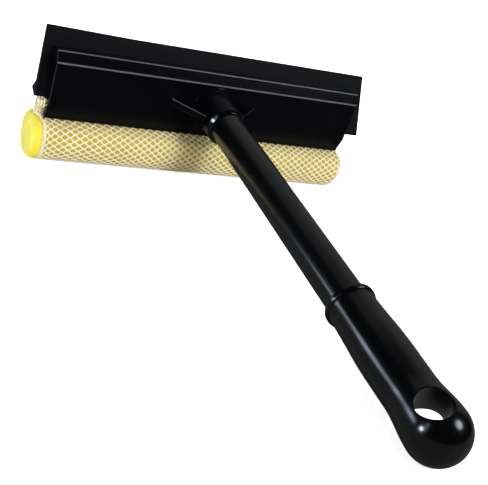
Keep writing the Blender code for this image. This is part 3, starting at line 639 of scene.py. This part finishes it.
def make_net(fabric, material):
    """The sleeve: two families of slanting yarns that cross in diamonds, an edge yarn at each end, a neck."""
    skein = Skein()
    last = fabric.last_column()
    samples, pinch = 12, 0.55
    between_knots, knot = 0.78, 0.5
    columns = np.linspace(0, last, int(last * samples))
    drawn = columns - pinch * np.sin(4 * math.pi * columns) / (4 * math.pi)
    wave = np.cos(2 * math.pi * columns)
    half_width = YARN_HALF_WIDTH * (between_knots + knot * (wave**2) ** 3)
    for family in (1, -1):
        for start in range(DIAMONDS_ROUND):
            around = (start + family * drawn) * fabric.pitch_round
            weave = family * WEAVE * wave
            line = fabric.points(around, columns, weave)
            proud = fabric.points(around, columns, weave + MM) - line
            skein.twisted(line, proud, half_width, YARN_HALF_DEPTH, turn_length=1.9 * MM)
    around = np.linspace(0, fabric.around, 900)
    for middle, swing, width in ((0.22, 0.20, 0.7), (last - 0.1, 0.08, 1.0)):
        column = middle + swing * np.cos(2 * math.pi * around / fabric.pitch_round)
        line = fabric.points(around, column, 0.0)
        proud = fabric.points(around, column, MM) - line
        skein.twisted(line, proud, YARN_HALF_WIDTH * width, YARN_HALF_DEPTH, turn_length=1.5 * MM)
    add_neck_band(skein, fabric)
    return mesh_object("net_wrap", place_all(np.vstack(skein.verts)), skein.faces, material)


def add_neck_band(skein, fabric):
    """The net's drawn-in left edge between the covers: thick strands round the bar and down to the roll."""
    held = np.where(fabric.neck > 0.6)[0]
    breaks = np.where(np.diff(held) > 5)[0] + 1
    for run in np.split(held, breaks):
        from_bar = fabric.run[run] - BAR_CENTRE
        # The loop round the bar stands wider at its loose end
        swell = np.where(np.linalg.norm(from_bar, axis=1) < 2.6 * MM, 0.42, 0.0)
        section = fabric.run[run] + from_bar * swell[:, None]
        proud = np.column_stack([np.zeros(len(run)), fabric.normal[run]])
        for inset in NECK_STRANDS:
            line = np.column_stack([np.full(len(run), NECK_LEFT + inset), section])
            skein.twisted(line, proud, STRAND_HALF_WIDTH, STRAND_HALF_DEPTH, turn_length=4.5 * MM)


def foam_lift(fabric, around, x):
    """Share of the foam's bulge at a point: 0 under the yarns, 1 well away from them."""
    along = np.clip(x - NET_LEFT, 0, None)
    column = np.interp(along, fabric.lengths, fabric.columns)
    row = around / fabric.pitch_round
    wide = np.interp(column, fabric.columns, np.gradient(fabric.lengths, fabric.columns))
    across = wide * fabric.pitch_round / np.hypot(wide, fabric.pitch_round)
    first = np.abs((column + row + 0.5) % 1 - 0.5) * across
    second = np.abs((column - row + 0.5) % 1 - 0.5) * across
    near = np.minimum(first, second)
    return np.clip((near - 0.25 * MM) / (1.2 * MM), 0, 1)


def foam_stations():
    """Where the foam's rings lie along x, and their share of its radius: discs, rounded rims and body."""

    def rim(t):
        return RIM_LENGTH * (1 - math.sin(t)), 1 - RIM_DROP * (1 - math.cos(t)) / ROLL_RADIUS

    left = [(FOAM_LEFT + inset, size) for inset, size in map(rim, np.linspace(math.pi / 2, 0.06, 14))]
    right = [(FOAM_RIGHT - inset, size) for inset, size in map(rim, np.linspace(0.06, math.pi / 2, 14))]
    disc = np.linspace(0.04, 0.96, 15)
    stations = [(FOAM_LEFT, left[0][1] * share) for share in disc]
    stations += left
    stations += [(x, 1.0) for x in np.arange(BODY_LEFT, BODY_RIGHT, FOAM_STEP)]
    stations += right
    return stations + [(FOAM_RIGHT, right[-1][1] * share) for share in disc[::-1]]


def make_foam(fabric, material):
    """The roll: pressed by every yarn, bulging through every diamond, bare and fuller at its left end."""
    angles = LIP_LEAN + np.arange(FOAM_TURNS) / FOAM_TURNS * 2 * math.pi
    direction = np.stack([np.sin(angles), np.cos(angles)], -1)
    distance = np.interp(angles, *roll_distance(fabric))
    off_seat = 1 - np.clip((np.cos(angles - LIP_LEAN) - 0.6) / 0.3, 0, 1)
    stations = foam_stations()
    rows = []
    for x, size in stations:
        netted = np.clip((x - (NET_LEFT - 0.6 * MM)) / (1.6 * MM), 0, 1)
        lift = foam_lift(fabric, distance, np.full(angles.shape, x))
        pressed = (PRESSED + BULGE * lift) * netted
        radius = section_radius(angles) + BARE_SWELL * (1 - netted) * off_seat + pressed
        section = ROLL_CENTRE + direction * (radius * size)[:, None]
        rows.append(np.column_stack([np.full(FOAM_TURNS, x), section]))
    rows = np.array(rows)
    crumple(rows)
    verts = np.vstack([rows.reshape(-1, 3), rows[0].mean(0)[None], rows[-1].mean(0)[None]])
    index = np.arange(len(stations) * FOAM_TURNS).reshape(len(stations), FOAM_TURNS)
    after = np.roll(index, -1, axis=1)
    faces = np.stack([index[:-1], after[:-1], after[1:], index[1:]], -1).reshape(-1, 4).tolist()
    left, right = len(verts) - 2, len(verts) - 1
    for k in range(FOAM_TURNS):
        faces.append([left, int(after[0][k]), int(index[0][k])])
        faces.append([right, int(index[-1][k]), int(after[-1][k])])
    return closed_object("foam_core", place_all(verts), faces, material)


def crumple(rows):
    """Soft unevenness all over the foam, more where it is bare, and a slight dome on its left disc."""
    coarse_scale, fine_scale = 160, 1400
    for row in rows:
        for point in row:
            spot = Vector(point)
            coarse = noise.noise(spot * coarse_scale)
            fine = noise.noise(spot * fine_scale)
            bare = 1.0 if point[0] < NET_LEFT or point[0] > FOAM_RIGHT - 0.3 * MM else 0.25
            away = np.array([0.0, *(point[1:] - ROLL_CENTRE)])
            length = max(np.linalg.norm(away), 1e-6)
            point += away / length * (coarse * 0.12 + fine * 0.06) * MM * bare
            if point[0] < FOAM_LEFT + 0.2 * MM:
                dome = 1 - (length / ROLL_RADIUS) ** 2
                point[0] += (coarse * 0.25 + fine * 0.07 + 0.25 * (1 - dome)) * MM


def roll_distance(fabric):
    """Angles about the roll's centre, and the net's distance round the section at each."""
    away = fabric.run - ROLL_CENTRE
    angle = np.unwrap(np.arctan2(away[:, 0], away[:, 1]))
    on_roll = fabric.neck < 0.05
    order = np.argsort(angle[on_roll])
    return angle[on_roll][order], fabric.at[on_roll][order]


# Rubber blade


def share_between(value, start, finish):
    """0 at start, 1 at finish, and no less or more beyond them."""
    return min(max((value - start) / (finish - start), 0), 1)


def make_rubber(material):
    """The blade with its left corner drawn out and its top edge sprung up toward that corner."""
    bm = bmesh.new()
    bm.from_mesh(nodes["rubber_blade"].data)
    for x in (-50, -60, -70, -80, -90):
        everything = bm.verts[:] + bm.edges[:] + bm.faces[:]
        bmesh.ops.bisect_plane(bm, geom=everything, plane_co=(x * MM, 0, 0), plane_no=(1, 0, 0))
    up_way = Vector((0, math.sin(BLADE_LEAN), math.cos(BLADE_LEAN)))
    low = min(vert.co.z for vert in bm.verts)
    high = max(vert.co.z for vert in bm.verts)
    for vert in bm.verts:
        height = share_between(vert.co.z, low, high)
        sprung = share_between(vert.co.x, RISE_FROM, RISE_TO) * share_between(height, 0.35, 1.0)
        at_end = share_between(vert.co.x, RUN_OUT_FROM, RUN_OUT_TO)
        vert.co.x -= (FOOT_RUN_OUT + (TOP_RUN_OUT - FOOT_RUN_OUT) * height) * at_end
        vert.co += up_way * EDGE_RISE * sprung
    bmesh.ops.triangulate(bm, faces=[face for face in bm.faces if len(face.verts) > 4])
    mesh = mesh_from("blade_sprung", bm)
    mesh.materials.clear()
    mesh.materials.append(material)
    shade(mesh, sharp=30)
    return add_object("blade_sprung", mesh)


# Screws, plug and threads


def make_screw(name, node, material):
    """A pan-headed screw with a cross recess and a smooth shank, where the plain screw stands."""
    points = np.array([v.co for v in nodes[node].data.vertices], float)
    ahead = np.array(HEAD_TURN @ Vector((0, -math.cos(SCREW_LEAN), math.sin(SCREW_LEAN))))
    along = points @ ahead
    middle = points.mean(0)
    centre_line = middle - ahead * (middle @ ahead)
    radius = np.linalg.norm(points - centre_line - np.outer(along, ahead), axis=1)
    head_radius = radius.max()
    low, high = along.min(), along.max()
    shank_radius = radius[along > high - 0.1 * MM].max()
    head_face = along[radius > head_radius * 0.98].max()
    crown = [(low, 0.50), (low + 0.12 * MM, 0.72), (low + 0.45 * MM, 0.90), (low + 1.0 * MM, 0.99)]
    crown += [(head_face - 0.15 * MM, 0.99), (head_face, 0.94)]
    profile = [(at, share * head_radius) for at, share in crown]
    profile += [(head_face, shank_radius), (high - 0.5 * MM, shank_radius * 0.9)]
    profile += [(high, shank_radius * 0.4)]
    side = np.cross(ahead, [1.0, 0.0, 0.0])
    side /= np.linalg.norm(side)
    other = np.cross(ahead, side)
    verts = []
    for at, distance in profile:
        for turn in np.arange(SCREW_TURNS) / SCREW_TURNS * 2 * math.pi:
            aside = side * distance * math.cos(turn) + other * distance * math.sin(turn)
            verts.append(centre_line + ahead * at + aside)
    screw = closed_object(name, verts, tube_faces(len(profile), SCREW_TURNS), material)
    for way, square in ((side, other), (other, side)):
        cut(screw, recess_cutter(centre_line + ahead * low, ahead, way, square, head_radius))
    shade(screw.data, sharp=35)
    return screw


def tube_faces(rings, corners):
    """Faces of a tube whose rings of corners follow one another, and of its two ends."""
    last = (rings - 1) * corners
    faces = [tuple(range(corners)), tuple(range(last, last + corners))[::-1]]
    for near in range(0, last, corners):
        for k in range(corners):
            after = (k + 1) % corners
            faces.append((near + k, near + after, near + corners + after, near + corners + k))
    return faces


def recess_cutter(start, ahead, long_way, short_way, size):
    """One of the two tapering blades of a cross-head driver's tip."""
    bm = bmesh.new()
    corners = []
    for depth, length, width in ((-0.3, 0.62, 0.17), (1.25, 0.22, 0.13)):
        at = Vector(start + ahead * depth * MM)
        for a, b in ((1, 1), (1, -1), (-1, -1), (-1, 1)):
            along = at + Vector(long_way) * a * length * size
            corners.append(bm.verts.new(along + Vector(short_way) * b * width * size))
    for face in ((0, 1, 2, 3), (7, 6, 5, 4), (0, 4, 5, 1), (1, 5, 6, 2), (2, 6, 7, 3), (3, 7, 4, 0)):
        bm.faces.new([corners[k] for k in face])
    bmesh.ops.recalc_face_normals(bm, faces=bm.faces)
    return add_object("recess_cutter", mesh_from("recess_cutter", bm))


def cut(thing, cutter):
    """Takes the cutter's shape out of a thing's mesh, and removes the cutter."""
    modifier = thing.modifiers.new("cut", "BOOLEAN")
    modifier.operation = "DIFFERENCE"
    modifier.solver = "EXACT"
    modifier.object = cutter
    graph = bpy.context.evaluated_depsgraph_get()
    made = bpy.data.meshes.new_from_object(thing.evaluated_get(graph))
    thing.modifiers.clear()
    old = thing.data
    thing.data = made
    bpy.data.meshes.remove(old)
    bpy.data.objects.remove(cutter, do_unlink=True)


def thread_height(phase):
    """Share of the thread's depth at a phase from 0 to 1: a rounded trapezoid."""
    wave = abs((phase % 1.0) - 0.5) * 2
    return min(1.0, max(0.0, (wave - 0.30) / 0.34))


def make_plug(material):
    """The screw-in plug: a coarse round-crested thread, a plain tip, and the spigot inside the pole."""
    tip, mouth, end = 2.6 * MM, 21.9 * MM, 51.7 * MM
    root, crest, spigot, centre = 7.1 * MM, 7.95 * MM, 7.2 * MM, 0.01 * MM
    nose = [(tip, centre), (tip, root - 1.0 * MM), (tip + 0.6 * MM, root - 0.2 * MM)]
    neck = [(mouth - 1.2 * MM, root), (mouth - 1.0 * MM, crest), (mouth, crest), (mouth, spigot)]
    inside = [(end - MM, spigot), (end, spigot - MM), (end, centre)]
    angles = np.arange(PLUG_TURNS) / PLUG_TURNS * 2 * math.pi
    rings = [(out, np.full(PLUG_TURNS, radius)) for out, radius in nose]
    threaded = np.arange(tip + 1.0 * MM, mouth - 1.4 * MM, 0.25 * MM)
    for out in threaded:
        fade = min(1.0, (out - threaded[0]) / (2.0 * MM), (threaded[-1] - out) / (1.5 * MM))
        heights = np.array([thread_height(out / THREAD_PITCH + a / (2 * math.pi)) for a in angles])
        rings.append((out, root + (crest - root) * heights * fade))
    rings += [(out, np.full(PLUG_TURNS, radius)) for out, radius in neck + inside]
    verts = []
    for out, radii in rings:
        verts += [(r * math.sin(a), out, r * math.cos(a)) for r, a in zip(radii, angles)]
    faces = tube_faces(len(rings), PLUG_TURNS)
    plug = closed_object("plug_threaded", place_all(verts), faces, material)
    shade(plug.data, sharp=40)
    return plug


def make_bore_thread(material):
    """The matching ridge inside the socket, which runs in the plug's groove."""
    wall, crest = 8.28 * MM, 7.4 * MM
    first, last = 4.2 * MM, 19.0 * MM
    foot, top = 0.75 * MM, 0.28 * MM
    steps, run_in = 420, 25
    verts = []
    for step in range(steps + 1):
        out = first + (last - first) * step / steps
        angle = -2 * math.pi * (out / THREAD_PITCH) + math.pi
        fade = min(1.0, step / run_in, (steps - step) / run_in)
        tip = wall - (wall - crest) * (0.1 + 0.9 * fade)
        for radius, shift in ((wall, -foot), (tip, -top), (tip, top), (wall, foot)):
            verts.append((radius * math.sin(angle), out + shift, radius * math.cos(angle)))
    faces = tube_faces(steps + 1, 4)
    ridge = closed_object("socket_thread", place_all(verts), faces, material)
    shade(ridge.data, sharp=40)
    return ridge


# Handle pieces turned finely


def turned(name, profile, material):
    """A closed solid of revolution about the handle's axis from (out, radius) points in millimetres."""
    angles = np.arange(HANDLE_TURNS) / HANDLE_TURNS * 2 * math.pi
    verts, rings = [], []
    for out, radius in profile:
        rings.append(len(verts))
        if radius == 0:
            verts.append((0.0, out * MM, 0.0))
        else:
            verts += [(radius * MM * math.sin(a), out * MM, radius * MM * math.cos(a)) for a in angles]
    pairs = list(zip(range(len(profile)), range(1, len(profile))))
    if profile[0][1] and profile[-1][1]:
        pairs.append((len(profile) - 1, 0))
    faces = []
    for near, far in pairs:
        for k in range(HANDLE_TURNS):
            after = (k + 1) % HANDLE_TURNS
            if profile[near][1] == 0:
                faces.append((rings[near], rings[far] + after, rings[far] + k))
            elif profile[far][1] == 0:
                faces.append((rings[near] + k, rings[near] + after, rings[far]))
            else:
                faces.append((rings[near] + k, rings[near] + after, rings[far] + after, rings[far] + k))
    return closed_object(name, place_all(verts), faces, material)


def arc(out, radius, size, start, finish):
    """Points of a round on a profile: angles in degrees from the outward way."""
    steps = 6
    turns = np.radians(np.linspace(start, finish, steps + 1))
    return [(out + size * math.cos(t), radius + size * math.sin(t)) for t in turns]


def grip_profile():
    """The grip's whole outline in millimetres: bore, bead, groove, swelling tube, waist and ball."""
    points = [(217.3, 0), (217.3, 9.6), (179.4, 9.6), (179.0, 9.9)]
    points += arc(179.9, 10.8, 0.9, 180, 90) + arc(181.3, 10.8, 0.9, 90, 20) + [(182.3, 10.86)]
    marks = [(182.5, 10.8), (214.5, 11.8), (233.0, 11.65), (BALL_START, BALL_RADIUS)]
    for (start, first), (finish, last) in zip(marks, marks[1:]):
        for share in np.arange(24) / 24:
            eased = (1 - math.cos(math.pi * share)) / 2
            points.append((start + (finish - start) * share, first + (last - first) * eased))
    for angle in np.radians(np.arange(0, 90, 2.5)):
        points.append((BALL_START + BALL_RADIUS * math.sin(angle), BALL_RADIUS * math.cos(angle)))
    return points + [(BALL_START + BALL_RADIUS, 0)]


def make_grip(material):
    """The grip with its hang hole, which slants and widens downward, and softly rounded rims."""
    grip = turned("grip_moulded", grip_profile(), material)
    head = Matrix.Translation(HEAD_ORIGIN) @ Matrix.Rotation(LEAN, 4, "X")
    handle = head @ Matrix.Rotation(HANDLE_TURN, 4, "Y")
    wider = HOLE_REACH * math.tan(HOLE_TAPER)
    bm = bmesh.new()
    bmesh.ops.create_cone(
        bm,
        cap_ends=True,
        segments=112,
        radius1=HOLE_RADIUS + wider,
        radius2=HOLE_RADIUS - wider,
        depth=2 * HOLE_REACH,
    )
    mesh = mesh_from("hole_cutter", bm)
    spot = handle @ Matrix.Translation((0, -HOLE_OUT, 0)) @ Matrix.Rotation(HOLE_SLANT, 4, "X")
    mesh.transform(spot)
    cut(grip, add_object("hole_cutter", mesh))
    round_rims(grip, handle @ Vector((0, -WAIST_OUT, 0)))
    shade(grip.data, sharp=34)
    return grip


def round_rims(grip, after):
    """Rounds the hole's two rims; every sharp edge beyond the waist belongs to one of them."""
    outward_way = HEAD_TURN @ Vector((0, -1, 0))
    bm = bmesh.new()
    bm.from_mesh(grip.data)
    bmesh.ops.remove_doubles(bm, verts=bm.verts, dist=0.02 * MM)
    rims = []
    for edge in bm.edges:
        beyond = all((vert.co - after).dot(outward_way) > 0 for vert in edge.verts)
        if beyond and edge.calc_face_angle(0) > math.radians(30):
            rims.append(edge)
    bmesh.ops.bevel(bm, geom=rims, offset=0.5 * MM, segments=4, profile=0.5, affect="EDGES")
    bm.to_mesh(grip.data)
    bm.free()


def make_ring(material):
    """The collar ring between socket and pole: a rounded shoulder and a taper down to the mouth."""
    inner, slope = 7.5, 54
    points = [(22.3, inner), (22.25, 10.4)] + arc(22.85, 10.7, 0.6, 180, 90)
    points += arc(23.3, 10.9, 0.4, 90, slope) + arc(24.86, 9.64, 0.5, slope, 0) + [(25.36, inner)]
    ring = turned("collar_turned", points, material)
    shade(ring.data, sharp=50)
    return ring


# Stage


def seen_white(tree, path):
    """1 for the rays that see the white background: the camera's and those through clear things."""
    return combined(tree, "MAXIMUM", path["Is Camera Ray"], path["Is Transmission Ray"])


def make_floor():
    """A pale floor that takes soft shadow: near white to the camera, and darker in gloss."""
    bpy.ops.mesh.primitive_plane_add(size=6.0, location=(0, 0, -0.2 * MM))
    floor = bpy.context.object
    floor.name = "floor"
    material = bpy.data.materials.new("floor_pale")
    material.use_nodes = True
    tree = material.node_tree
    tree.nodes.clear()
    path = add_node(tree, "LightPath", {}).outputs
    tone = blend(tree, path["Is Glossy Ray"], grey(FLOOR_PALE), grey(FLOOR_MIRRORED))
    diffuse = add_node(tree, "BsdfDiffuse", {"Color": tone}).outputs[0]
    inputs = {"Color": (*grey(FLOOR_GLOW), 1.0), "Strength": seen_white(tree, path)}
    glow = add_node(tree, "Emission", inputs).outputs[0]
    both = add_node(tree, "AddShader", {0: diffuse, 1: glow}).outputs[0]
    add_node(tree, "OutputMaterial", {"Surface": both})
    floor.data.materials.append(material)


def make_world():
    """A dim even studio that camera and clear things see as white, and that gloss mirrors as a dark room."""
    world = bpy.data.worlds.new("studio")
    bpy.context.scene.world = world
    world.use_nodes = True
    tree = world.node_tree
    path = add_node(tree, "LightPath", {}).outputs
    mirrored = blend(tree, path["Is Glossy Ray"], grey(STUDIO_DIM), mirrored_walls(tree))
    seen = blend(tree, seen_white(tree, path), mirrored, grey(STUDIO_SEEN))
    feed(tree, tree.nodes["Background"], {"Color": seen, "Strength": 1.0})


def mirrored_walls(tree):
    """A dark room with a pale wall behind and to the right, which draws the soft edge along the handle."""
    way = axes_of(tree, add_node(tree, "TexCoord", {}).outputs["Generated"])
    heights = [(0.0, 0.5), (0.25, 0.55), (0.6, 0.95), (0.78, 0.8), (0.92, 0.0)]
    up = ramp(tree, way["Z"], [(height, grey(tone)) for height, tone in heights])
    right = between(tree, way["X"], -0.45, -0.05)
    behind = between(tree, way["Y"], 0.0, 0.35)
    wall = combined(tree, "MULTIPLY", combined(tree, "MULTIPLY", right, behind), up)
    return blend(tree, wall, grey(ROOM_DARK), grey(ROOM_PALE))


def make_lamp(name, at, aim, size, radiance, colour, mirrored, lights):
    """A round flat lamp: it can be seen in gloss and light things, or do only one of the two."""
    data = bpy.data.lights.new(name, "AREA")
    data.shape = "ELLIPSE"
    data.size, data.size_y = size
    data.energy = radiance * math.pi * math.pi / 4 * size[0] * size[1]
    data.color = colour
    lamp = add_object(name, data)
    lamp.location = at
    lamp.rotation_euler = (Vector(aim) - Vector(at)).to_track_quat("-Z", "Y").to_euler()
    lamp.visible_glossy = mirrored
    lamp.visible_diffuse = lights


def make_lamps():
    """Three lamps that are only seen in gloss, four that only light, and one that does both."""
    white, pale, cool = (1, 1, 1), (0.91, 0.945, 1.0), (0.72, 0.83, 1.0)
    seen, both, light = (True, False), (True, True), (False, True)
    # Place, aim, width and height, radiance, colour, and whether it is mirrored and lights
    lamps = {
        "softbox": ((0.93, -0.88, 1.17), (0, 0, 0.03), (0.64, 0.64), 11.5, pale, *seen),
        "window_left": ((-0.47, 0.27, 0.065), (0, -0.08, 0.03), (0.16, 0.12), 8.0, cool, *both),
        "card_left": ((-0.55, -0.16, 0.24), (0, 0, 0.03), (0.10, 0.32), 3.0, cool, *seen),
        "spot_left": ((-0.55, -0.07, 0.10), (0, -0.1, 0.02), (0.11, 0.11), 46.0, cool, *seen),
        "key": ((0.20, -1.05, 0.82), (0, 0, 0.03), (0.42, 0.42), 30.0, white, *light),
        "fill_left": ((-0.9, -0.5, 0.5), (0, 0, 0.02), (0.7, 0.7), 1.3, white, *light),
        "top": ((-0.1, 0.1, 1.3), (0, 0, 0), (0.9, 0.9), 3.0, white, *light),
        "back": ((0.35, 1.1, 0.45), (0, 0.1, 0.02), (0.7, 0.7), 3.5, white, *light),
    }
    for name, lamp in lamps.items():
        make_lamp(name, *lamp)


def make_camera():
    """The photograph's viewpoint, brought from the upright squeegee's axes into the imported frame."""
    data = bpy.data.cameras.new("camera")
    data.sensor_fit = "HORIZONTAL"
    data.sensor_width = SENSOR_WIDTH
    data.lens = FOCAL_PIXELS / PHOTO_WIDTH * SENSOR_WIDTH
    data.clip_start, data.clip_end = 0.02, 30.0
    camera = add_object("camera", data)
    turn = CAMERA_TURN @ HEAD_TURN.transposed()
    where = -(turn.transposed() @ (CAMERA_SHIFT - turn @ HEAD_ORIGIN))
    axes = turn.transposed() @ Matrix(((1, 0, 0), (0, -1, 0), (0, 0, -1)))
    camera.matrix_world = Matrix.Translation(where) @ axes.to_4x4()
    bpy.context.scene.camera = camera


def put_on(piece, body, instead_of=None):
    """Lets a piece move with a body and, if a CAD node is named, stand in its place."""
    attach(piece, body)
    if instead_of:
        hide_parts(instead_of)


def dress():
    """Gives four CAD nodes their materials, and makes the pieces that replace the others."""
    materials = make_materials()
    plain = {
        "front_cover": "cover_plastic",
        "rear_cover": "rear_plastic",
        "net_bar": "bar_plastic",
        "pole_tube": "pole_coating",
    }
    for node, material in plain.items():
        give_material(nodes[node], materials[material])
    fabric = Fabric()
    net = make_net(fabric, materials["net_yarn"])
    put_on(net, "head", "net_sleeve")
    foam = make_foam(fabric, materials["roll_foam"])
    put_on(foam, "head", "foam_roll")
    put_on(make_rubber(materials["blade_rubber"]), "head", "rubber_blade")
    for number in (1, 2, 3, 4):
        node = f"cover_screw_{number}"
        screw = make_screw(f"screw_{number}", node, materials["screw_zinc"])
        put_on(screw, "head", node)
    put_on(make_plug(materials["handle_plastic"]), "handle", "handle_plug")
    put_on(make_grip(materials["handle_plastic"]), "handle", "grip")
    put_on(make_ring(materials["collar_plastic"]), "collar", "collar_ring")
    put_on(make_bore_thread(materials["cover_plastic"]), "head")


bpy.context.scene.view_settings.view_transform = "Standard"
dress()
make_floor()
make_world()
make_lamps()
make_camera()
